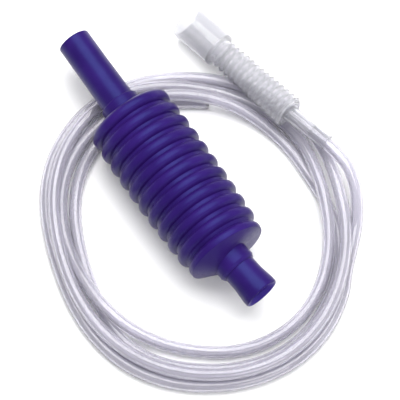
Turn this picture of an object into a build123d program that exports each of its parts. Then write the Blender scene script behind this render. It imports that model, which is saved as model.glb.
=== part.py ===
"""Siphon pump kit: a bellows hand pump with two ball check valves, lying over a coil of clear hose
whose end carries a corrugated adaptor. Millimetres, +Z up, +X from the pump's inlet to its outlet.
The origin is on the floor, under the middle of the pump."""

from build123d import *
import math
import os

# Bellows: one blow-moulded shell with a neck at each end.
CREST_RADIUS = 34.6
AXIS_HEIGHT = CREST_RADIUS
FOLD_COUNT = 11
FOLD_PITCH = 12.5
FIRST_CREST_X = -46.2
TALLEST_FOLD = 4
INLET_DROP = 1.2
OUTLET_DROP = 2.1
FOLD_DEPTH = 3.6
FOLD_HALF_CHORD = 4.9
BELLOWS_WALL = 1.6
NECK_RADIUS = 15.1
NECK_BORE = 13.3
INLET_NECK_X = -63.3
INLET_SHOULDER_X = -52.5
OUTLET_SHOULDER_X = 88.5
OUTLET_NECK_X = 95.4

# Inlet spigot and outlet nozzle: tubes glued into the necks.
PLUG_RADIUS = 13.25
SPIGOT_RADIUS = 12.7
SPIGOT_LAND = 26.0
SPIGOT_INNER_X = -51.0
TUBE_BORE = 10.0
VALVE_BORE = 11.2
NOZZLE_LENGTH = 27.4
NOZZLE_BASE_RADIUS = 12.9
NOZZLE_MOUTH_RADIUS = 14.3
NOZZLE_LEAN = 7.0
NOZZLE_DROOP = 4.0
NOZZLE_ROOT = 1.7
LIP_ROUND = 1.4

# Ball check valves: seat ring, ball and cage, the same at both ends.
INLET_VALVE_X = -70.0
OUTLET_VALVE_X = 73.5
SEAT_LENGTH = 5.0
SEAT_THROAT = 3.8
SEAT_CONE_START = 2.0
BALL_RADIUS = 6.0
BALL_TRAVEL = 3.5
BALL_GAP = 0.15
CAGE_LENGTH = 13.5
CAGE_RING_BORE = 9.6
CAGE_RIB_RADIUS = 6.3
CAGE_RIB_WIDTH = 1.6
CAGE_STOP = 1.8
CAGE_RIBS = 4

# Corrugated adaptor: cup, corrugated sleeve and cuff over the hose.
CUP_MOUTH = Vector(-96.6, 84.2, 14.3)
SLEEVE_END = Vector(12.2, 103.6, 25.0)
CUP_RADIUS = 14.25
CUP_BASE_RADIUS = 13.7
CUP_LENGTH = 38.5
CUP_BORE = 12.75
CUP_DEPTH = 34.0
RIB_COUNT = 14
RIB_DEPTH = 2.0
SLEEVE_START_RADIUS = 11.25
SLEEVE_END_RADIUS = 13.1
SLEEVE_WALL = 1.2
CUFF_DIRECTION = Vector(35.3, 9.5, 0).normalized()
CUFF_LENGTH = 36.6
CUFF_RADIUS = 5.8
CUFF_BORE = 4.8
CUFF_ROOT = 3.0

# Hose: the lead from the cuff, then the coil.
HOSE_RADIUS = 4.75
HOSE_BORE = 3.175
LEAD_INSERTED = 15.0
LEAD_FREE_POINTS = [
    (62.0, 117.0, 25.0),
    (84.0, 114.3, 19.5),
    (104.5, 102.5, 11.0),
    (120.0, 87.0, 5.4),
    (134.5, 71.0, 4.9),
]
COIL_CENTRE = (44.0, 0.0)
COIL_OUTLINE_POINTS = 24
COIL_LAYER = 9.5
COIL_HEIGHT = 17.7
COIL_SHOULDER = 7.0
COIL_EDGE = 3.9
LOW_SECTOR_START = 85.0
LOW_SECTOR_END = 137.0


def bulge(angle, centre, width):
    """A smooth local bulge of the coil, 1 at its centre, with angles in degrees."""
    away = (angle - centre + 180) % 360 - 180
    return math.exp(-((away / width) ** 2))


def coil_middle(angle):
    """Radius of the middle of the bundle of turns, at an angle in degrees."""
    long_way = 5.3 * math.cos(math.radians(2 * (angle + 13)))
    three_way = 2.0 * math.cos(math.radians(3 * (angle + 48)))
    bulges = 5.0 * bulge(angle, 7, 27) - 1.8 * bulge(angle, 77, 19)
    dents = 2.2 * bulge(angle, 246, 22) + 2.6 * bulge(angle, 321, 20)
    return 109.2 + long_way + three_way + bulges - dents


def coil_half_width(angle):
    """Half the width of the bundle of turns, at an angle in degrees."""
    three_way = 1.4 * math.cos(math.radians(3 * (angle + 30)))
    return 15.5 + three_way + 1.7 * bulge(angle, 314, 20) - 0.7 * bulge(angle, 246, 22)


def coil_point(angle, radius):
    """A point of the coil in plan, from its centre."""
    turn = math.radians(angle)
    return (COIL_CENTRE[0] + radius * math.cos(turn), COIL_CENTRE[1] + radius * math.sin(turn))


def crest_radius(fold):
    """Radius of a fold's crest: the bellows is slightly barrelled."""
    if fold <= TALLEST_FOLD:
        return CREST_RADIUS - INLET_DROP * ((TALLEST_FOLD - fold) / TALLEST_FOLD) ** 2
    beyond = (fold - TALLEST_FOLD) / (FOLD_COUNT - 1 - TALLEST_FOLD)
    return CREST_RADIUS - OUTLET_DROP * beyond**2


def pump_plane():
    """Sketch plane through the pump's axis: x along it, y the radius."""
    return Plane(origin=(0, 0, AXIS_HEIGHT), x_dir=(1, 0, 0), z_dir=(0, -1, 0))


def valve_plane(x):
    """Sketch plane across the pump's axis."""
    return Plane(origin=(x, 0, AXIS_HEIGHT), x_dir=(0, 1, 0), z_dir=(1, 0, 0))


def plane_along(start, direction):
    """Sketch plane through an axis of any direction: x along it, y the radius."""
    side = Vector(0, 0, 1).cross(direction).normalized()
    return Plane(origin=start, x_dir=direction, z_dir=side * -1)


def axis_of(plane):
    """The axis that a profile drawn on the plane turns about."""
    return Axis(plane.origin, plane.x_dir)


def outline(plane, points):
    """A flat face with straight sides."""
    with BuildSketch(plane) as profile:
        with BuildLine():
            Polyline(*points, close=True)
        make_face()
    return profile.sketch


def folded_outline(wall):
    """Half section of the bellows, lowered by a wall thickness and closed along the axis."""
    half_chord = FOLD_HALF_CHORD - 0.75 * wall
    neck = NECK_RADIUS if wall == 0 else NECK_BORE
    end = 0 if wall == 0 else 1
    inlet_x = INLET_SHOULDER_X + wall
    outlet_x = OUTLET_SHOULDER_X - wall
    last = FOLD_COUNT - 1
    inlet_corner = (FIRST_CREST_X - half_chord, crest_radius(0) - FOLD_DEPTH - wall)
    with BuildSketch(pump_plane()) as profile:
        with BuildLine():
            Polyline((INLET_NECK_X - end, 0), (INLET_NECK_X - end, neck), (inlet_x, neck), inlet_corner)
            corner = inlet_corner
            for fold in range(FOLD_COUNT):
                crest = crest_radius(fold) - wall
                valley = crest - FOLD_DEPTH
                x = FIRST_CREST_X + fold * FOLD_PITCH
                if fold > 0:
                    Line(corner, (x - half_chord, valley))
                ThreePointArc((x - half_chord, valley), (x, crest), (x + half_chord, valley))
                corner = (x + half_chord, valley)
            Polyline(corner, (outlet_x, neck), (OUTLET_NECK_X + end, neck), (OUTLET_NECK_X + end, 0))
            Line((OUTLET_NECK_X + end, 0), (INLET_NECK_X - end, 0))
        make_face()
    return profile.sketch


def seat_outline(x):
    """Half section of a valve seat whose left face is at x."""
    cone_start = x + SEAT_CONE_START
    face = x + SEAT_LENGTH
    rim = SEAT_THROAT + SEAT_LENGTH - SEAT_CONE_START
    points = [(x, SEAT_THROAT), (cone_start, SEAT_THROAT), (face, rim), (face, VALVE_BORE), (x, VALVE_BORE)]
    return outline(pump_plane(), points)


def ball_x(x):
    """Where the ball's centre is when it sits on the cone of a seat at x."""
    reach = BALL_RADIUS * math.sin(math.radians(45))
    contact = x + SEAT_CONE_START + reach - SEAT_THROAT
    return contact + reach + BALL_GAP


def sleeve_radius(share):
    """Radius of the corrugated sleeve's crests: it grows towards the hose."""
    return SLEEVE_START_RADIUS + share * (SLEEVE_END_RADIUS - SLEEVE_START_RADIUS)


def sleeve_zigzag(length, drop):
    """The sleeve's ribs from the cup to its end, lowered by a wall thickness."""
    pitch = (length - CUP_LENGTH) / RIB_COUNT
    points = []
    for rib in range(RIB_COUNT):
        start = CUP_LENGTH + rib * pitch
        crest = sleeve_radius((rib + 0.5) / RIB_COUNT) - drop
        points.append((start, crest - RIB_DEPTH))
        points.append((start + pitch / 2, crest))
    return points


# Bellows.
with BuildPart() as bellows:
    revolve(folded_outline(0), axis=axis_of(pump_plane()))
    revolve(folded_outline(BELLOWS_WALL), axis=axis_of(pump_plane()), mode=Mode.SUBTRACT)

# Outlet nozzle: a straight plug in the neck and a flared tube that leans to +Y and droops a little.
level_lean = Vector(math.cos(math.radians(NOZZLE_LEAN)), math.sin(math.radians(NOZZLE_LEAN)), 0)
lean = level_lean * math.cos(math.radians(NOZZLE_DROOP)) - Vector(0, 0, math.sin(math.radians(NOZZLE_DROOP)))
nozzle_plane = plane_along(Vector(OUTLET_NECK_X, 0, AXIS_HEIGHT), lean)
plug_start = OUTLET_VALVE_X - 1.0
plug_points = [(plug_start, VALVE_BORE), (plug_start, PLUG_RADIUS)]
plug_points += [(OUTLET_NECK_X, PLUG_RADIUS), (OUTLET_NECK_X, VALVE_BORE)]
flare_points = [(-NOZZLE_ROOT, 0), (-NOZZLE_ROOT, NOZZLE_BASE_RADIUS), (2.0, NOZZLE_BASE_RADIUS)]
flare_points += [(NOZZLE_LENGTH - 3.4, NOZZLE_MOUTH_RADIUS), (NOZZLE_LENGTH, NOZZLE_MOUTH_RADIUS)]
flare_points += [(NOZZLE_LENGTH, 0)]
bore_points = [(-4.0, 0), (-4.0, TUBE_BORE), (NOZZLE_LENGTH + 1, TUBE_BORE), (NOZZLE_LENGTH + 1, 0)]
with BuildPart() as outlet_nozzle:
    revolve(outline(nozzle_plane, flare_points), axis=axis_of(nozzle_plane))
    revolve(outline(pump_plane(), plug_points), axis=axis_of(pump_plane()))
    revolve(outline(nozzle_plane, bore_points), axis=axis_of(nozzle_plane), mode=Mode.SUBTRACT)
    mouth_edges = outlet_nozzle.edges().filter_by(GeomType.CIRCLE).sort_by(Axis.X)[-2:]
    fillet(mouth_edges, radius=LIP_ROUND)

# The pump's ends are as far from the origin as each other.
tip = outlet_nozzle.part.bounding_box().max.X
inlet_end_x = -tip

# Inlet spigot: a straight land for a cup or socket, then a slight taper to the neck.
with BuildPart() as inlet_spigot:
    spigot_points = [(inlet_end_x, TUBE_BORE), (inlet_end_x, SPIGOT_RADIUS)]
    spigot_points += [(inlet_end_x + SPIGOT_LAND, SPIGOT_RADIUS), (INLET_NECK_X, PLUG_RADIUS)]
    spigot_points += [(SPIGOT_INNER_X, PLUG_RADIUS), (SPIGOT_INNER_X, VALVE_BORE)]
    spigot_points += [(INLET_VALVE_X, VALVE_BORE), (INLET_VALVE_X, TUBE_BORE)]
    revolve(outline(pump_plane(), spigot_points), axis=axis_of(pump_plane()))
    fillet(inlet_spigot.edges().filter_by(GeomType.CIRCLE).sort_by(Axis.X)[:2], radius=1.0)

# Valves.
with BuildPart() as inlet_valve_seat:
    revolve(seat_outline(INLET_VALVE_X), axis=axis_of(pump_plane()))
with BuildPart() as outlet_valve_seat:
    revolve(seat_outline(OUTLET_VALVE_X), axis=axis_of(pump_plane()))
with BuildPart() as inlet_valve_ball:
    with Locations((ball_x(INLET_VALVE_X), 0, AXIS_HEIGHT)):
        Sphere(BALL_RADIUS)
with BuildPart() as outlet_valve_ball:
    with Locations((ball_x(OUTLET_VALVE_X), 0, AXIS_HEIGHT)):
        Sphere(BALL_RADIUS)


def cage_ring(x):
    """The cage's section: a ring with ribs that guide the ball."""
    middle = (CAGE_RIB_RADIUS + CAGE_RING_BORE + 0.4) / 2
    with BuildSketch(valve_plane(x)) as section:
        Circle(VALVE_BORE)
        Circle(CAGE_RING_BORE, mode=Mode.SUBTRACT)
        with PolarLocations(middle, CAGE_RIBS):
            Rectangle(CAGE_RING_BORE + 0.4 - CAGE_RIB_RADIUS, CAGE_RIB_WIDTH)
    return section.sketch


def cage_cross(x):
    """The cross that stops the ball."""
    with BuildSketch(valve_plane(x)) as section:
        with PolarLocations(0, CAGE_RIBS // 2, angular_range=180):
            Rectangle(2 * CAGE_RING_BORE + 0.8, CAGE_RIB_WIDTH)
        Circle(BALL_RADIUS / 2)
    return section.sketch


def stop_x(x):
    """Where the cross of the cage of a valve at x begins."""
    return ball_x(x) + BALL_RADIUS + BALL_TRAVEL + 0.2


with BuildPart() as inlet_valve_cage:
    extrude(cage_ring(INLET_VALVE_X + SEAT_LENGTH), amount=CAGE_LENGTH)
    extrude(cage_cross(stop_x(INLET_VALVE_X)), amount=CAGE_STOP)
with BuildPart() as outlet_valve_cage:
    extrude(cage_ring(OUTLET_VALVE_X + SEAT_LENGTH), amount=CAGE_LENGTH)
    extrude(cage_cross(stop_x(OUTLET_VALVE_X)), amount=CAGE_STOP)

# Corrugated adaptor.
adaptor_plane = plane_along(CUP_MOUTH, (SLEEVE_END - CUP_MOUTH).normalized())
cuff_plane = plane_along(SLEEVE_END, CUFF_DIRECTION)
sleeve_length = (SLEEVE_END - CUP_MOUTH).length
outer_points = [(0, 0), (0, CUP_RADIUS), (CUP_LENGTH - 3.0, CUP_BASE_RADIUS)]
outer_points += sleeve_zigzag(sleeve_length, 0)
outer_points += [(sleeve_length, SLEEVE_END_RADIUS - RIB_DEPTH), (sleeve_length, 0)]
inner_points = [(-1, 0), (-1, CUP_BORE), (CUP_DEPTH, CUP_BORE)]
inner_points += [(CUP_DEPTH, SLEEVE_START_RADIUS - RIB_DEPTH - SLEEVE_WALL)]
inner_points += sleeve_zigzag(sleeve_length, SLEEVE_WALL)[:-1]
inner_points += [(sleeve_length - 2.0, SLEEVE_END_RADIUS - RIB_DEPTH - SLEEVE_WALL)]
inner_points += [(sleeve_length - 2.0, 0)]
cuff_points = [(-CUFF_ROOT, 0), (-CUFF_ROOT, CUFF_RADIUS), (CUFF_LENGTH, CUFF_RADIUS), (CUFF_LENGTH, 0)]
cuff_bore_points = [(-CUFF_ROOT - 1, 0), (-CUFF_ROOT - 1, CUFF_BORE)]
cuff_bore_points += [(CUFF_LENGTH + 1, CUFF_BORE), (CUFF_LENGTH + 1, 0)]
with BuildPart() as corrugated_adaptor:
    revolve(outline(adaptor_plane, outer_points), axis=axis_of(adaptor_plane))
    revolve(outline(adaptor_plane, inner_points), axis=axis_of(adaptor_plane), mode=Mode.SUBTRACT)
    revolve(outline(cuff_plane, cuff_points), axis=axis_of(cuff_plane))
    revolve(outline(cuff_plane, cuff_bore_points), axis=axis_of(cuff_plane), mode=Mode.SUBTRACT)

# Hose lead: straight runs joined by arcs as large as the runs allow.
cuff_mouth = SLEEVE_END + CUFF_DIRECTION * CUFF_LENGTH
lead_start = cuff_mouth - CUFF_DIRECTION * LEAD_INSERTED
vertices = [lead_start] + [Vector(*point) for point in LEAD_FREE_POINTS]
radii = []
for before, corner, after in zip(vertices, vertices[1:], vertices[2:]):
    shorter = min((corner - before).length, (after - corner).length)
    half_turn = math.radians((corner - before).get_angle(after - corner)) / 2
    radii.append(0.45 * shorter / math.tan(half_turn))
print("hose arc radii:", [round(radius, 1) for radius in radii])
with BuildPart() as hose_lead:
    with BuildLine() as lead_path:
        FilletPolyline(*vertices, radius=radii)
    with BuildSketch(Plane(origin=lead_start, z_dir=vertices[1] - lead_start)):
        Circle(HOSE_RADIUS)
        Circle(HOSE_BORE, mode=Mode.SUBTRACT)
    sweep(path=lead_path.line)
section = math.pi * (HOSE_RADIUS**2 - HOSE_BORE**2)
lead_length = lead_path.wire().length
print("hose lead volume / (section x length):", round(hose_lead.part.volume / section / lead_length, 4))


def coil_outline(height, inset):
    """Plan of the bundle of turns: the stretch between two smooth closed curves."""
    step = 360 / COIL_OUTLINE_POINTS
    angles = [step * i for i in range(COIL_OUTLINE_POINTS)]
    outer = [coil_point(a, coil_middle(a) + coil_half_width(a) - inset) for a in angles]
    inner = [coil_point(a, coil_middle(a) - coil_half_width(a) + inset) for a in angles]
    with BuildSketch(Plane.XY.offset(height)) as plan:
        with BuildLine():
            Spline(*outer, periodic=True)
        make_face()
        with BuildLine():
            Spline(*inner, periodic=True)
        make_face(mode=Mode.SUBTRACT)
    return plan.sketch


# Hose coil: three turns side by side, and a top layer except under the adaptor.
low_sector = [COIL_CENTRE, coil_point(LOW_SECTOR_START, 200), coil_point(LOW_SECTOR_END, 200)]
with BuildPart() as hose_coil:
    extrude(coil_outline(0, 0), amount=COIL_LAYER)
    chamfer(hose_coil.edges().group_by(Axis.Z)[-1], length=COIL_EDGE)
    extrude(coil_outline(COIL_LAYER, COIL_SHOULDER), amount=COIL_HEIGHT - COIL_LAYER)
    extrude(outline(Plane.XY.offset(COIL_LAYER), low_sector), amount=COIL_HEIGHT, mode=Mode.SUBTRACT)

os.makedirs("parts", exist_ok=True)
nodes = {
    "bellows": bellows,
    "inlet_spigot": inlet_spigot,
    "inlet_valve_seat": inlet_valve_seat,
    "inlet_valve_ball": inlet_valve_ball,
    "inlet_valve_cage": inlet_valve_cage,
    "outlet_nozzle": outlet_nozzle,
    "outlet_valve_seat": outlet_valve_seat,
    "outlet_valve_ball": outlet_valve_ball,
    "outlet_valve_cage": outlet_valve_cage,
    "corrugated_adaptor": corrugated_adaptor,
    "hose_lead": hose_lead,
    "hose_coil": hose_coil,
}
for name, node in nodes.items():
    node.part.label = name
    export_step(node.part, f"parts/{name}.step")
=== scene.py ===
import math

import bpy
from mathutils import Matrix, Vector


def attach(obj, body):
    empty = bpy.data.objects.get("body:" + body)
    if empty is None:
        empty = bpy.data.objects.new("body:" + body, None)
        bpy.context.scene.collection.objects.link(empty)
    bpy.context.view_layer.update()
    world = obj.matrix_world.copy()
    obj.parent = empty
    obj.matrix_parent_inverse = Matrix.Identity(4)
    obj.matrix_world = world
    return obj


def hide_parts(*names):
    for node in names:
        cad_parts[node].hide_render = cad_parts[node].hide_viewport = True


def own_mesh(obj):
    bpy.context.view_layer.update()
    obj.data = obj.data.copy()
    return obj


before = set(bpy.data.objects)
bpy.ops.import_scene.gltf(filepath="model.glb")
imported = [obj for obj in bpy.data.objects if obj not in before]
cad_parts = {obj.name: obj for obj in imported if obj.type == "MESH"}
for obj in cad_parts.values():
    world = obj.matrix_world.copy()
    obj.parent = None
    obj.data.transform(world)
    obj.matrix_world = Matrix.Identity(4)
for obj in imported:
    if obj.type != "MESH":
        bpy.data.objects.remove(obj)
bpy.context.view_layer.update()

MM = 0.001
UP = Vector((0, 0, 1))
ALONG_PUMP = Vector((1, 0, 0))

# ---------------------------------------------------------------- sizes as part.py has them
# Lengths are in millimetres and angles in degrees.

# Bellows: a barrel of folds between two necks.
CREST_RADIUS = 34.6
AXIS_HEIGHT = CREST_RADIUS
FOLD_COUNT = 11
FOLD_PITCH = 12.5
FIRST_CREST_X = -46.2
TALLEST_FOLD = 4
INLET_DROP = 1.2
OUTLET_DROP = 2.1
FOLD_DEPTH = 3.6
FOLD_HALF_CHORD = 4.9
BELLOWS_WALL = 1.6
NECK_RADIUS = 15.1
NECK_BORE = 13.3
INLET_NECK_X = -63.3
INLET_SHOULDER_X = -52.5
OUTLET_SHOULDER_X = 88.5
OUTLET_NECK_X = 95.4

# Outlet nozzle: a straight plug in the neck and a flared tube that leans and droops.
PLUG_START = 72.5
PLUG_RADIUS = 13.25
PLUG_BORE = 11.2
TUBE_BORE = 10.0
NOZZLE_LENGTH = 27.4
NOZZLE_BASE_RADIUS = 12.9
NOZZLE_MOUTH_RADIUS = 14.3
NOZZLE_LEAN = 7.0
NOZZLE_DROOP = 4.0
NOZZLE_ROOT = 1.7

# Corrugated adaptor: cup, corrugated sleeve and cuff over the hose.
CUP_MOUTH = Vector((-96.6, 84.2, 14.3))
SLEEVE_END = Vector((12.2, 103.6, 25.0))
CUP_RADIUS = 14.25
CUP_BASE_RADIUS = 13.7
CUP_LENGTH = 38.5
CUP_BORE = 12.75
CUP_DEPTH = 34.0
RIB_COUNT = 14
RIB_DEPTH = 2.0
SLEEVE_START_RADIUS = 11.25
SLEEVE_END_RADIUS = 13.1
SLEEVE_WALL = 1.2
CUFF_DIRECTION = Vector((35.3, 9.5, 0.0)).normalized()
CUFF_LENGTH = 36.6
CUFF_RADIUS = 5.8
CUFF_BORE = 4.8

# Hose: the lead from the cuff, whose points are in metres, then the coil.
HOSE_RADIUS = 4.75
HOSE_BORE = 3.175
LEAD_INSERTED = 15.0
LEAD_FREE_POINTS = [
    (0.0620, 0.1170, 0.0250),
    (0.0840, 0.1143, 0.0195),
    (0.1045, 0.1025, 0.0110),
    (0.1200, 0.0870, 0.0054),
    (0.1345, 0.0710, 0.0049),
]
COIL_CENTRE = (44.0, 0.0)

# ---------------------------------------------------------------- sizes of the visual model's own detail
# Lengths are in millimetres and angles in degrees.

# Folds: how far they close, how they bend, and the edge that ends the last one.
FOLD_STEPS = 14
FOLD_POWER = 3.0
CHORD_PINCH = 0.55
EDGE_PINCH = 0.5
LAST_EDGE = 2.4
LAST_EDGE_FALL = 0.4
LAST_FOLD_DROP = 1.1

# The folds' ends: a low collar over the inlet neck, and a shoulder that leans with the nozzle.
COLLAR_LENGTH = 1.2
COLLAR_PROUD = 0.3
COLLAR_DEPTH = 1.0
SHOULDER_PROUD = 0.2
SHOULDER_END = 0.6
SHOULDER_BLEND = 5.5
SHOULDER_LEAN = 12.0
SHOULDER_SHIFT = 1.8

# Necks: how far they reach into the folds, and the outlet neck's bevelled end.
NECK_OVERLAP = 1.0
OUTLET_NECK_BACK = 13.4
OUTLET_NECK_EDGE = 1.2
OUTLET_NECK_END = 1.6
OUTLET_NECK_FALL = 1.5
OUTLET_NECK_GRIP = 1.0

# Nozzle: its base and its waist, then its flare and its lip, whose places are measured back from the mouth.
BASE_END = 2.0
WAIST = 11.0
WAIST_PROUD = 0.1
FLARE_END = 4.4
LIP_START = 0.9
LIP_START_FALL = 0.1
LIP_FALL = 0.9
LIP_INSIDE = 0.4
LIP_INSIDE_FALL = 1.5
CHAMFER_END = 3.6
PLUG_GAP = 0.05

# Adaptor: its cup's shoulder, its sleeve's end wall, points along each rib as shares of its pitch, with the
# valley at 0 and the crest at 0.5, and the cuff's root and lip.
CUP_SHOULDER = 3.0
END_WALL = 2.0
END_WALL_EDGE = 1.6
RIB_SHARES = (0.0, 0.2, 0.4, 0.5, 0.6, 0.8)
CUFF_BACK = 2.4
CUFF_FLARE = 1.2
CUFF_FLARE_END = 0.9
CUFF_DRAFT = 0.1
CUFF_LIP_FOOT = 2.2
CUFF_LIP_LENGTH = 1.6
CUFF_LIP_PROUD = 0.5
CUFF_GAP = 0.04

# Tube of the hose: its sides, and the share of its length that the noise of its drawing marks sees, so that
# the marks are long.
TUBE_SIDES = 32
DRAWN_SHARE = 0.03

# The turns go round by falling angles, and wobble a little: by how many millimetres, how many times in a
# turn, and from which angle.
FIRST_TURN_ANGLE = 29.0
LAST_TURN_ANGLE = -1298.3
POINTS_PER_TURN = 24
WOBBLES = [(0.35, 3.7, 0.0), (0.25, 5.3, 40.0)]

# Where the hose lies in the bundle, along its turns: turns gone round since the start angle, lane from the
# inside (0) to the outside (1), height of its centreline.
LANES_START_ANGLE = 93.0
LANES = [
    (0.10, 1.00, 4.75),
    (0.93, 1.00, 4.75),
    (1.07, 0.64, 13.8),
    (1.26, 0.74, 13.0),
    (1.76, 0.74, 13.0),
    (1.87, 0.50, 4.75),
    (1.95, 0.50, 4.75),
    (2.045, 0.20, 14.3),
    (2.08, 0.00, 14.3),
    (2.18, 0.00, 4.75),
    (2.28, -0.10, 4.75),
    (2.385, -0.06, 4.75),
    (2.465, 0.00, 14.3),
    (2.505, 0.18, 14.3),
    (2.60, 0.48, 4.75),
    (2.67, 0.46, 4.75),
    (2.78, 0.22, 13.7),
    (2.86, -0.01, 14.3),
    (2.96, 0.00, 4.75),
    (3.03, 0.00, 4.75),
    (3.14, 0.50, 4.75),
    (3.41, 0.50, 4.75),
    (3.51, 0.00, 4.75),
    (4.00, 0.00, 4.75),
]

# Roundings: the most of a side that a corner takes, and the turn under which a corner stays as it is.
SIDE_SHARE = 0.45
SMALLEST_TURN = 4.0

# ---------------------------------------------------------------- sizes of the scene
# Lengths are in metres and angles in degrees.
CAMERA_TARGET = Vector((0.0242, 0.0142, 0.0))
CAMERA_AZIMUTH = 55.9
CAMERA_ELEVATION = 68.8
CAMERA_DISTANCE = 5.0
CLIP_START = 0.1
CLIP_END = 50.0
FRAME_WIDTH = 0.300
SENSOR_WIDTH = 36.0
FLOOR_REACH = 6.0
WORLD_STRENGTH = 0.55
LIGHT_BOUNCES = 32

# The range that a noise texture's value mostly stays in.
NOISE_LOW = 0.3
NOISE_HIGH = 0.7


# ---------------------------------------------------------------- mesh helpers
def rounded(profile, steps=4):
    """A closed profile of (distance, radius, rounding) with its corners rounded as their sides allow."""
    result = []
    for i, (*place, rounding) in enumerate(profile):
        corner = Vector(place)
        into = corner - Vector(profile[i - 1][:2])
        out = Vector(profile[(i + 1) % len(profile)][:2]) - corner
        turn = into.angle(out)
        if rounding <= 0 or turn < math.radians(SMALLEST_TURN):
            result.append(tuple(corner))
            continue
        reach = min(rounding * math.tan(turn / 2), SIDE_SHARE * into.length, SIDE_SHARE * out.length)
        first = corner - into.normalized() * reach
        last = corner + out.normalized() * reach
        for step in range(steps + 1):
            share = step / steps
            bend = first.lerp(corner, share).lerp(corner.lerp(last, share), share)
            result.append(tuple(bend))
    return result


def add_object(name, vertices, faces, smooth=True):
    """A new mesh object from points in metres."""
    mesh = bpy.data.meshes.new(name)
    mesh.from_pydata([tuple(v) for v in vertices], [], faces)
    mesh.validate()
    mesh.update()
    mesh.polygons.foreach_set("use_smooth", [smooth] * len(mesh.polygons))
    made = bpy.data.objects.new(name, mesh)
    bpy.context.scene.collection.objects.link(made)
    return made


def turned(name, profile, origin, direction, segments):
    """A ring-shaped solid: a closed profile of (distance, radius) in millimetres turned about an axis."""
    side = UP.cross(direction).normalized()
    up = direction.cross(side)
    count = len(profile)
    vertices, faces = [], []
    for k in range(segments):
        angle = 2 * math.pi * k / segments
        radial = side * math.cos(angle) + up * math.sin(angle)
        for distance, radius in profile:
            vertices.append((origin + direction * distance + radial * radius) * MM)
        here, there = k * count, (k + 1) % segments * count
        for i in range(count):
            j = (i + 1) % count
            faces.append((here + i, there + i, there + j, here + j))
    return add_object(name, vertices, faces)


def smoothstep(value, start, end):
    """0 before start, 1 after end, and a smooth rise between them."""
    share = min(1.0, max(0.0, (value - start) / (end - start)))
    return share * share * (3 - 2 * share)


# ---------------------------------------------------------------- camera
azimuth = math.radians(CAMERA_AZIMUTH)
elevation = math.radians(CAMERA_ELEVATION)
back = Vector((
    math.sin(azimuth) * math.cos(elevation),
    -math.cos(azimuth) * math.cos(elevation),
    math.sin(elevation),
))
camera_data = bpy.data.cameras.new("camera")
camera_data.sensor_width = SENSOR_WIDTH
camera_data.lens = SENSOR_WIDTH * CAMERA_DISTANCE / FRAME_WIDTH
camera_data.clip_start = CLIP_START
camera_data.clip_end = CLIP_END
camera = bpy.data.objects.new("camera", camera_data)
bpy.context.scene.collection.objects.link(camera)
camera.location = CAMERA_TARGET + back * CAMERA_DISTANCE
camera.rotation_mode = "QUATERNION"
camera.rotation_quaternion = (-back).to_track_quat("-Z", "Y")
bpy.context.scene.camera = camera


# ---------------------------------------------------------------- materials
def new_material(name):
    """A material with its nodes, its links and its shader."""
    material = bpy.data.materials.new(name)
    material.use_nodes = True
    nodes, links = material.node_tree.nodes, material.node_tree.links
    return material, nodes, links, nodes["Principled BSDF"]


def object_noise(nodes, links, scale, detail, roughness):
    """Noise in the object's own space, where one unit is a metre."""
    place = nodes.new("ShaderNodeTexCoord")
    noise = nodes.new("ShaderNodeTexNoise")
    noise.inputs["Scale"].default_value = scale
    noise.inputs["Detail"].default_value = detail
    noise.inputs["Roughness"].default_value = roughness
    links.new(place.outputs["Object"], noise.inputs["Vector"])
    return noise.outputs["Fac"]


def mixed_colour(nodes, links, noise, dark, light):
    """A colour from dark to light as noise goes through its usual range."""
    made = nodes.new("ShaderNodeValToRGB")
    low, high = made.color_ramp.elements
    low.position = NOISE_LOW
    low.color = (*dark, 1)
    high.position = NOISE_HIGH
    high.color = (*light, 1)
    links.new(noise, made.inputs["Fac"])
    return made.outputs["Color"]


def spread(nodes, links, noise, low, high):
    """A value from low to high as noise goes through its usual range."""
    made = nodes.new("ShaderNodeMapRange")
    made.inputs["From Min"].default_value = NOISE_LOW
    made.inputs["From Max"].default_value = NOISE_HIGH
    made.inputs["To Min"].default_value = low
    made.inputs["To Max"].default_value = high
    links.new(noise, made.inputs["Value"])
    return made.outputs["Result"]


def add_bump(nodes, links, shader, height, strength, distance):
    """A bump from a height, with its distance in metres."""
    made = nodes.new("ShaderNodeBump")
    made.inputs["Strength"].default_value = strength
    made.inputs["Distance"].default_value = distance
    links.new(height, made.inputs["Height"])
    links.new(made.outputs["Normal"], shader.inputs["Normal"])


def moulded_plastic(name, dark, light, roughness, grain=2200.0, gloss=0.5, tint=(1, 1, 1)):
    """Satin moulded plastic: slow colour drift, fine grain, slightly uneven gloss."""
    material, nodes, links, shader = new_material(name)
    drift = object_noise(nodes, links, scale=45.0, detail=4.0, roughness=0.55)
    links.new(mixed_colour(nodes, links, drift, dark, light), shader.inputs["Base Color"])
    scuffs = object_noise(nodes, links, scale=320.0, detail=5.0, roughness=0.65)
    uneven = spread(nodes, links, scuffs, low=roughness - 0.05, high=roughness + 0.07)
    links.new(uneven, shader.inputs["Roughness"])
    fine = object_noise(nodes, links, scale=grain, detail=2.0, roughness=0.5)
    add_bump(nodes, links, shader, fine, strength=0.12, distance=0.0004)
    shader.inputs["IOR"].default_value = 1.5
    shader.inputs["Specular IOR Level"].default_value = gloss
    shader.inputs["Specular Tint"].default_value = (*tint, 1)
    return material


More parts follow.
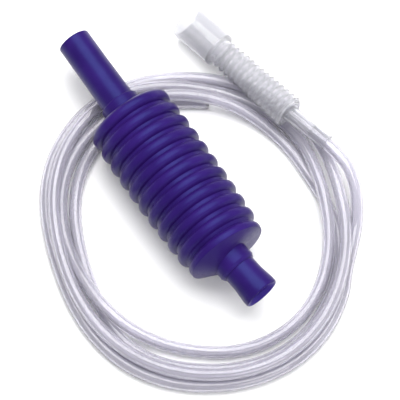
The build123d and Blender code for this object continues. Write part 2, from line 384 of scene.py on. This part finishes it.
def clear_vinyl(name, dark, light):
    """Clear soft tube: nearly colourless, a little cloudy, with faint lengthwise drawing marks."""
    material, nodes, links, shader = new_material(name)
    drawn_place = nodes.new("ShaderNodeAttribute")
    drawn_place.attribute_name = "drawn"
    marks = nodes.new("ShaderNodeTexNoise")
    marks.inputs["Scale"].default_value = 700.0
    marks.inputs["Detail"].default_value = 3.0
    links.new(drawn_place.outputs["Vector"], marks.inputs["Vector"])
    links.new(mixed_colour(nodes, links, marks.outputs["Fac"], dark, light), shader.inputs["Base Color"])
    haze = object_noise(nodes, links, scale=260.0, detail=3.0, roughness=0.6)
    links.new(spread(nodes, links, haze, low=0.08, high=0.13), shader.inputs["Roughness"])
    add_bump(nodes, links, shader, marks.outputs["Fac"], strength=0.06, distance=0.0003)
    shader.inputs["Transmission Weight"].default_value = 0.78
    shader.inputs["IOR"].default_value = 1.36
    shader.inputs["Specular IOR Level"].default_value = 0.6
    shader.inputs["Coat Weight"].default_value = 0.4
    shader.inputs["Coat Roughness"].default_value = 0.06
    shader.inputs["Coat IOR"].default_value = 1.6
    return material


def milky_plastic(name, dark, light, clearness):
    """Translucent polyethylene: cloudy, lets light through, satin surface."""
    material, nodes, links, shader = new_material(name)
    cloud = object_noise(nodes, links, scale=70.0, detail=4.0, roughness=0.55)
    links.new(mixed_colour(nodes, links, cloud, dark, light), shader.inputs["Base Color"])
    haze = object_noise(nodes, links, scale=380.0, detail=4.0, roughness=0.6)
    links.new(spread(nodes, links, haze, low=0.08, high=0.14), shader.inputs["Roughness"])
    fine = object_noise(nodes, links, scale=1500.0, detail=2.0, roughness=0.5)
    add_bump(nodes, links, shader, fine, strength=0.08, distance=0.0003)
    shader.inputs["Transmission Weight"].default_value = clearness
    shader.inputs["IOR"].default_value = 1.42
    shader.inputs["Specular IOR Level"].default_value = 0.4
    return material


def floor_paper(name, dark, light):
    """Matt white paper with a faint drift of its white."""
    material, nodes, links, shader = new_material(name)
    drift = object_noise(nodes, links, scale=8.0, detail=2.0, roughness=0.5)
    links.new(mixed_colour(nodes, links, drift, dark, light), shader.inputs["Base Color"])
    shader.inputs["Roughness"].default_value = 0.9
    return material


def paint(piece, material):
    """Gives a whole piece one material."""
    piece.data.materials.clear()
    piece.data.materials.append(material)


BLUE_SHEEN = (0.22, 0.42, 1.0)
MILK_DARK = (0.765, 0.765, 0.805)
MILK_LIGHT = (0.86, 0.86, 0.89)
bellows_plastic = moulded_plastic(
    "bellows_plastic", (0.017, 0.004, 0.086), (0.026, 0.007, 0.118), 0.36, gloss=0.25, tint=BLUE_SHEEN
)
tube_plastic = moulded_plastic(
    "tube_plastic", (0.016, 0.004, 0.080), (0.024, 0.007, 0.110), 0.33, gloss=0.28, tint=BLUE_SHEEN
)
# The nozzle's bore: a lighter copy of the nozzle's blue plastic, painted light, so that the shaded inside
# of its mouth looks lit.
bore_painted_light_plastic = moulded_plastic(
    "bore_painted_light_plastic", (0.042, 0.018, 0.210), (0.056, 0.024, 0.260), 0.33, gloss=0.28, tint=BLUE_SHEEN
)
valve_plastic = moulded_plastic(
    "valve_plastic", (0.70, 0.70, 0.73), (0.78, 0.78, 0.80), 0.35, grain=1800.0
)
ball_plastic = moulded_plastic(
    "ball_plastic", (0.78, 0.78, 0.75), (0.84, 0.84, 0.80), 0.22, grain=2600.0
)
hose_vinyl = clear_vinyl("hose_vinyl", (0.70, 0.685, 0.77), (0.86, 0.845, 0.91))
adaptor_plastic = milky_plastic("adaptor_plastic", MILK_DARK, MILK_LIGHT, clearness=0.79)
cuff_plastic = milky_plastic("cuff_plastic", MILK_DARK, MILK_LIGHT, clearness=0.88)
floor_material = floor_paper("floor_paper", (0.95, 0.95, 0.95), (0.97, 0.97, 0.97))


# ---------------------------------------------------------------- hose
def bulge(angle, centre, width):
    """A smooth local bulge of the coil, 1 at its centre, with angles in degrees."""
    away = (angle - centre + 180) % 360 - 180
    return math.exp(-((away / width) ** 2))


def coil_middle(angle):
    """Radius of the middle of the bundle of turns, at an angle in degrees."""
    long_way = 5.3 * math.cos(math.radians(2 * (angle + 13)))
    three_way = 2.0 * math.cos(math.radians(3 * (angle + 48)))
    bulges = 5.0 * bulge(angle, 7, 27) - 1.8 * bulge(angle, 77, 19)
    dents = 2.2 * bulge(angle, 246, 22) + 2.6 * bulge(angle, 321, 20)
    return 109.2 + long_way + three_way + bulges - dents


def coil_half_width(angle):
    """Half the width of the bundle of turns, at an angle in degrees."""
    three_way = 1.4 * math.cos(math.radians(3 * (angle + 30)))
    return 15.5 + three_way + 1.7 * bulge(angle, 314, 20) - 0.7 * bulge(angle, 246, 22)


def lane_at(gone):
    """Lane and height of the hose's centreline after some turns."""
    for (start, lane, height), (end, next_lane, next_height) in zip(LANES, LANES[1:]):
        if gone <= end:
            share = smoothstep(gone, start, end)
            return lane + share * (next_lane - lane), height + share * (next_height - height)
    return LANES[-1][1:]


def coil_radius(angle, lane):
    """Distance of a lane's centreline from the coil's centre, at an angle in degrees."""
    across = (2 * lane - 1) * (coil_half_width(angle) - HOSE_RADIUS)
    wobble = sum(size * math.sin(math.radians(waves * angle + start)) for size, waves, start in WOBBLES)
    return coil_middle(angle) + across + wobble


def hose_route(start):
    """The hose's points in metres: the lead from its inserted start, then the turns of the coil."""
    points = [tuple(start), *LEAD_FREE_POINTS]
    turned_by = FIRST_TURN_ANGLE - LAST_TURN_ANGLE
    steps = round(turned_by / 360 * POINTS_PER_TURN)
    cut_corner = math.cos(math.radians(turned_by / steps) / 2)
    for step in range(steps + 1):
        angle = FIRST_TURN_ANGLE - turned_by * step / steps
        lane, height = lane_at((LANES_START_ANGLE - angle) / 360)
        reach = coil_radius(angle, lane) / (cut_corner if 0 < step < steps else 1.0)
        points.append((
            (COIL_CENTRE[0] + reach * math.cos(math.radians(angle))) * MM,
            (COIL_CENTRE[1] + reach * math.sin(math.radians(angle))) * MM,
            height * MM,
        ))
    return points


def smooth_line(points):
    """Points along the NURBS spline that has the given points as its control points."""
    curve = bpy.data.curves.new("hose_route", "CURVE")
    curve.dimensions = "3D"
    spline = curve.splines.new("NURBS")
    spline.points.add(len(points) - 1)
    for control, point in zip(spline.points, points):
        control.co = (*point, 1.0)
    spline.order_u = 3
    spline.use_endpoint_u = True
    spline.resolution_u = 12
    route_object = bpy.data.objects.new("hose_route", curve)
    bpy.context.scene.collection.objects.link(route_object)
    bpy.context.view_layer.update()
    line = bpy.data.meshes.new_from_object(route_object)
    places = [v.co.copy() for v in line.vertices]
    bpy.data.objects.remove(route_object)
    bpy.data.meshes.remove(line)
    return places


def tube_points(path, radii):
    """Rings of points along a path in metres, and their places on the tube as if it were drawn straight."""
    before, after = [path[0], *path[:-1]], [*path[1:], path[-1]]
    side = UP.cross(path[1] - path[0]).normalized()
    vertices, drawn = [], []
    gone = 0.0
    for point, previous, following in zip(path, before, after):
        tangent = (following - previous).normalized()
        gone += (point - previous).length
        side = (side - tangent * side.dot(tangent)).normalized()
        up = tangent.cross(side)
        for radius in radii:
            for k in range(TUBE_SIDES):
                angle = 2 * math.pi * k / TUBE_SIDES
                across, upward = radius * math.cos(angle), radius * math.sin(angle)
                vertices.append(point + side * across + up * upward)
                drawn.append((gone * DRAWN_SHARE, across, upward))
    return vertices, drawn


def tube_faces(ring_count):
    """Faces of a hollow tube, whose rings have their outer points first and then their inner ones."""
    sides = [(k, (k + 1) % TUBE_SIDES) for k in range(TUBE_SIDES)]
    ring = 2 * TUBE_SIDES
    last = (ring_count - 1) * ring
    faces = []
    for here in range(0, last, ring):
        there = here + ring
        faces += [(here + a, here + b, there + b, there + a) for a, b in sides]
        here, there = here + TUBE_SIDES, there + TUBE_SIDES
        faces += [(here + a, there + a, there + b, here + b) for a, b in sides]
    for a, b in sides:
        faces.append((a, TUBE_SIDES + a, TUBE_SIDES + b, b))
        faces.append((last + a, last + b, last + TUBE_SIDES + b, last + TUBE_SIDES + a))
    return faces


cuff_mouth = SLEEVE_END + CUFF_DIRECTION * CUFF_LENGTH
centreline = smooth_line(hose_route((cuff_mouth - CUFF_DIRECTION * LEAD_INSERTED) * MM))
vertices, drawn = tube_points(centreline, (HOSE_RADIUS * MM, HOSE_BORE * MM))
hose = add_object("hose", vertices, tube_faces(len(centreline)))
drawn_marks = hose.data.attributes.new("drawn", "FLOAT_VECTOR", "POINT")
drawn_marks.data.foreach_set("vector", [value for place in drawn for value in place])
paint(hose, hose_vinyl)
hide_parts("hose_lead", "hose_coil")
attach(hose, "hose")

# ---------------------------------------------------------------- corrugated adaptor
adaptor_direction = (SLEEVE_END - CUP_MOUTH).normalized()
sleeve_length = (SLEEVE_END - CUP_MOUTH).length
rib_pitch = (sleeve_length - CUP_LENGTH) / RIB_COUNT


def sleeve_ribs(wall, crest_round, root_round):
    """The sleeve's V ribs from the cup to its end, lowered by a wall thickness."""
    points = []
    for rib in range(RIB_COUNT):
        grown = (rib + 0.5) / RIB_COUNT * (SLEEVE_END_RADIUS - SLEEVE_START_RADIUS)
        crest = SLEEVE_START_RADIUS + grown - wall
        start = CUP_LENGTH + rib * rib_pitch
        for share in RIB_SHARES:
            rounding = {0.0: root_round, 0.5: crest_round}.get(share, 0)
            points.append((start + share * rib_pitch, crest - RIB_DEPTH * abs(2 * share - 1), rounding))
    return points


outer_profile = [(0, CUP_RADIUS, 0.7), (CUP_LENGTH - CUP_SHOULDER, CUP_BASE_RADIUS, 1.6)]
outer_profile += sleeve_ribs(0, 0.12, 0.15)
outer_profile += [(sleeve_length, SLEEVE_END_RADIUS - RIB_DEPTH, 0.8), (sleeve_length, CUFF_BORE, 0)]
inner_profile = [(sleeve_length - END_WALL_EDGE, CUFF_BORE, 0)]
inner_profile += [(sleeve_length - END_WALL, SLEEVE_END_RADIUS - RIB_DEPTH - SLEEVE_WALL, 0.5)]
inner_profile += sleeve_ribs(SLEEVE_WALL, 0.1, 0.15)[::-1]
inner_profile += [(CUP_DEPTH, SLEEVE_START_RADIUS - RIB_DEPTH - SLEEVE_WALL, 0.5)]
inner_profile += [(CUP_DEPTH, CUP_BORE, 2.6), (0, CUP_BORE, 0.5)]
adaptor_profile = rounded(outer_profile + inner_profile)
adaptor = turned("adaptor_sleeve", adaptor_profile, CUP_MOUTH, adaptor_direction, segments=96)
paint(adaptor, adaptor_plastic)
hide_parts("corrugated_adaptor")
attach(adaptor, "hose")

cuff_profile = rounded([
    (-CUFF_BACK, CUFF_BORE, 0.2),
    (-CUFF_BACK, CUFF_RADIUS + CUFF_FLARE, 0.3),
    (CUFF_FLARE_END, CUFF_RADIUS + CUFF_DRAFT, 1.2),
    (CUFF_LENGTH - CUFF_LIP_FOOT, CUFF_RADIUS - CUFF_DRAFT, 0.5),
    (CUFF_LENGTH - CUFF_LIP_LENGTH, CUFF_RADIUS + CUFF_LIP_PROUD, 0.4),
    (CUFF_LENGTH, CUFF_RADIUS + CUFF_LIP_PROUD, 0.4),
    (CUFF_LENGTH, HOSE_RADIUS + CUFF_GAP, 0.2),
])
cuff = turned("adaptor_cuff", cuff_profile, SLEEVE_END, CUFF_DIRECTION, segments=64)
paint(cuff, cuff_plastic)
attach(cuff, "hose")


# ---------------------------------------------------------------- bellows
def crest_radius(fold):
    """Radius of a fold's crest: the bellows is slightly barrelled, and its last fold is smaller."""
    if fold <= TALLEST_FOLD:
        return CREST_RADIUS - INLET_DROP * ((TALLEST_FOLD - fold) / TALLEST_FOLD) ** 2
    beyond = (fold - TALLEST_FOLD) / (FOLD_COUNT - 1 - TALLEST_FOLD)
    lowered = LAST_FOLD_DROP if fold == FOLD_COUNT - 1 else 0.0
    return CREST_RADIUS - OUTLET_DROP * beyond**2 - lowered


def fold_arc(fold, wall):
    """Points over a broad crest with steep sides, from valley to valley."""
    half = FOLD_HALF_CHORD - CHORD_PINCH * wall
    x = FIRST_CREST_X + fold * FOLD_PITCH
    points = []
    for step in range(FOLD_STEPS + 1):
        across = math.sin(math.pi / 2 * (2 * step / FOLD_STEPS - 1))
        fall = FOLD_DEPTH * abs(across) ** FOLD_POWER
        points.append((x + half * across, crest_radius(fold) - wall - fall))
    return points


def fold_side(wall, valley_round):
    """The folds from the inlet to the outlet, lowered by a wall thickness. The last one ends in an edge."""
    points = []
    for fold in range(FOLD_COUNT):
        arc = fold_arc(fold, wall)
        points.append((*arc[0], valley_round))
        points += [(*place, 0) for place in arc[1:-1]]
        points.append((*arc[-1], valley_round))
    edge_x = FIRST_CREST_X + (FOLD_COUNT - 1) * FOLD_PITCH + LAST_EDGE - EDGE_PINCH * wall
    edge_radius = crest_radius(FOLD_COUNT - 1) - wall - LAST_EDGE_FALL
    return points[:-(FOLD_STEPS // 2)] + [(edge_x, edge_radius, 1.0)]


pump_middle = Vector((0, 0, AXIS_HEIGHT))
outlet_end = Vector((OUTLET_NECK_X, 0, AXIS_HEIGHT))
nozzle_root = outlet_end * MM
fold_outer = [
    (INLET_SHOULDER_X - COLLAR_LENGTH, NECK_RADIUS - COLLAR_DEPTH, 0.3),
    (INLET_SHOULDER_X - COLLAR_LENGTH, NECK_RADIUS + COLLAR_PROUD, 0.6),
    *fold_side(0, 0.9),
    (OUTLET_SHOULDER_X, NECK_RADIUS + SHOULDER_PROUD, 1.6),
    (OUTLET_SHOULDER_X + SHOULDER_END, NECK_BORE + SHOULDER_PROUD, 0),
]
fold_inner = [
    (OUTLET_SHOULDER_X - BELLOWS_WALL, NECK_BORE + SHOULDER_PROUD, 0.3),
    *fold_side(BELLOWS_WALL, 0.6)[::-1],
    (INLET_SHOULDER_X + BELLOWS_WALL, NECK_RADIUS - COLLAR_DEPTH, 0.3),
]
folds = turned("bellows_folds", rounded(fold_outer + fold_inner), pump_middle, ALONG_PUMP, segments=160)
for vertex in folds.data.vertices:
    share = smoothstep(vertex.co.x / MM, OUTLET_SHOULDER_X - SHOULDER_BLEND, OUTLET_SHOULDER_X)
    if share > 0:
        turn = Matrix.Rotation(math.radians(SHOULDER_LEAN * share), 4, "Z")
        vertex.co = nozzle_root + turn @ (vertex.co - nozzle_root)
        vertex.co.x -= SHOULDER_SHIFT * MM * share
paint(folds, bellows_plastic)
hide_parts("bellows")
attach(folds, "pump")
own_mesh(folds)

inlet_neck_profile = rounded([
    (INLET_NECK_X, NECK_BORE, 0.1),
    (INLET_NECK_X, NECK_RADIUS, 0.9),
    (INLET_SHOULDER_X + NECK_OVERLAP, NECK_RADIUS, 0.3),
    (INLET_SHOULDER_X + NECK_OVERLAP, NECK_BORE, 0.1),
])
inlet_neck = turned("inlet_neck", inlet_neck_profile, pump_middle, ALONG_PUMP, segments=96)
paint(inlet_neck, bellows_plastic)
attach(inlet_neck, "inlet_end")

side_lean = math.radians(NOZZLE_LEAN)
droop = math.radians(NOZZLE_DROOP)
lean = Vector((math.cos(side_lean), math.sin(side_lean), 0)) * math.cos(droop) - UP * math.sin(droop)
outlet_neck_profile = rounded([
    (-OUTLET_NECK_BACK, NECK_BORE, 0.1),
    (-OUTLET_NECK_BACK, NECK_RADIUS, 0.3),
    (-OUTLET_NECK_EDGE, NECK_RADIUS, 0.9),
    (OUTLET_NECK_END, NECK_RADIUS - OUTLET_NECK_FALL, 0.9),
    (OUTLET_NECK_END, NECK_BORE - OUTLET_NECK_GRIP, 0.1),
])
outlet_neck = turned("outlet_neck", outlet_neck_profile, outlet_end, lean, segments=96)
paint(outlet_neck, bellows_plastic)
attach(outlet_neck, "pump")

# ---------------------------------------------------------------- outlet nozzle
nozzle_profile = rounded([
    (-NOZZLE_ROOT, TUBE_BORE, 0.1),
    (-NOZZLE_ROOT, NOZZLE_BASE_RADIUS, 0.2),
    (BASE_END, NOZZLE_BASE_RADIUS, 2.0),
    (WAIST, NOZZLE_BASE_RADIUS + WAIST_PROUD, 14.0),
    (NOZZLE_LENGTH - FLARE_END, NOZZLE_MOUTH_RADIUS, 7.0),
    (NOZZLE_LENGTH - LIP_START, NOZZLE_MOUTH_RADIUS - LIP_START_FALL, 1.2),
    (NOZZLE_LENGTH, NOZZLE_MOUTH_RADIUS - LIP_FALL, 0.6),
    (NOZZLE_LENGTH - LIP_INSIDE, NOZZLE_MOUTH_RADIUS - LIP_INSIDE_FALL, 0.6),
    (NOZZLE_LENGTH - CHAMFER_END, TUBE_BORE, 2.0),
], steps=6)
nozzle = turned("nozzle_tube", nozzle_profile, outlet_end, lean, segments=128)
plug_profile = rounded([
    (PLUG_START, PLUG_BORE, 0.3),
    (PLUG_START, PLUG_RADIUS - PLUG_GAP, 0.5),
    (OUTLET_NECK_X, PLUG_RADIUS - PLUG_GAP, 0.1),
    (OUTLET_NECK_X, PLUG_BORE, 0.1),
])
plug = turned("nozzle_plug", plug_profile, pump_middle, ALONG_PUMP, segments=96)
paint(nozzle, tube_plastic)
nozzle.data.materials.append(bore_painted_light_plastic)
# Faces inside the nozzle beyond its root take the bore's lighter copy of the plastic, which is painted
# light.
for face in nozzle.data.polygons:
    from_root = face.center - nozzle_root
    along = from_root.dot(lean)
    inside = (from_root - lean * along).dot(face.normal) < 0
    face.material_index = 1 if inside and along > 0 else 0
paint(plug, tube_plastic)
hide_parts("outlet_nozzle")
for piece in (nozzle, plug):
    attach(piece, "pump")

# ---------------------------------------------------------------- finishes of the CAD pieces that stay
paint(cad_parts["inlet_spigot"], tube_plastic)
for node in ("inlet_valve_seat", "inlet_valve_cage", "outlet_valve_seat", "outlet_valve_cage"):
    paint(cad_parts[node], valve_plastic)
for node in ("inlet_valve_ball", "outlet_valve_ball"):
    paint(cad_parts[node], ball_plastic)

# ---------------------------------------------------------------- floor and light
floor = add_object(
    "floor",
    [(x * FLOOR_REACH, y * FLOOR_REACH, 0) for x, y in ((-1, -1), (1, -1), (1, 1), (-1, 1))],
    [(0, 1, 2, 3)],
    smooth=False,
)
paint(floor, floor_material)


def area_light(name, place, aim, size, energy):
    """A square white lamp, with its place, aim and size in metres and its energy in watts."""
    data = bpy.data.lights.new(name, "AREA")
    data.shape = "SQUARE"
    data.size = size
    data.energy = energy
    light = bpy.data.objects.new(name, data)
    bpy.context.scene.collection.objects.link(light)
    light.location = place
    light.rotation_mode = "QUATERNION"
    light.rotation_quaternion = (Vector(aim) - Vector(place)).to_track_quat("-Z", "Y")


area_light("key", place=(-0.30, 0.30, 1.50), aim=(0, 0, 0), size=1.5, energy=36)
area_light("side", place=(1.3, 1.2, 1.0), aim=(0, 0, 0), size=1.2, energy=5)
area_light("mouth", place=(1.1, -0.1, 0.8), aim=(0.1, 0, 0.03), size=0.6, energy=3)

world = bpy.data.worlds.new("studio")
world.use_nodes = True
world.node_tree.nodes["Background"].inputs["Color"].default_value = (1, 1, 1, 1)
world.node_tree.nodes["Background"].inputs["Strength"].default_value = WORLD_STRENGTH
bpy.context.scene.world = world
bpy.context.scene.view_settings.view_transform = "Standard"
bpy.context.scene.cycles.max_bounces = LIGHT_BOUNCES
bpy.context.scene.cycles.transmission_bounces = LIGHT_BOUNCES
bpy.context.scene.cycles.transparent_max_bounces = LIGHT_BOUNCES
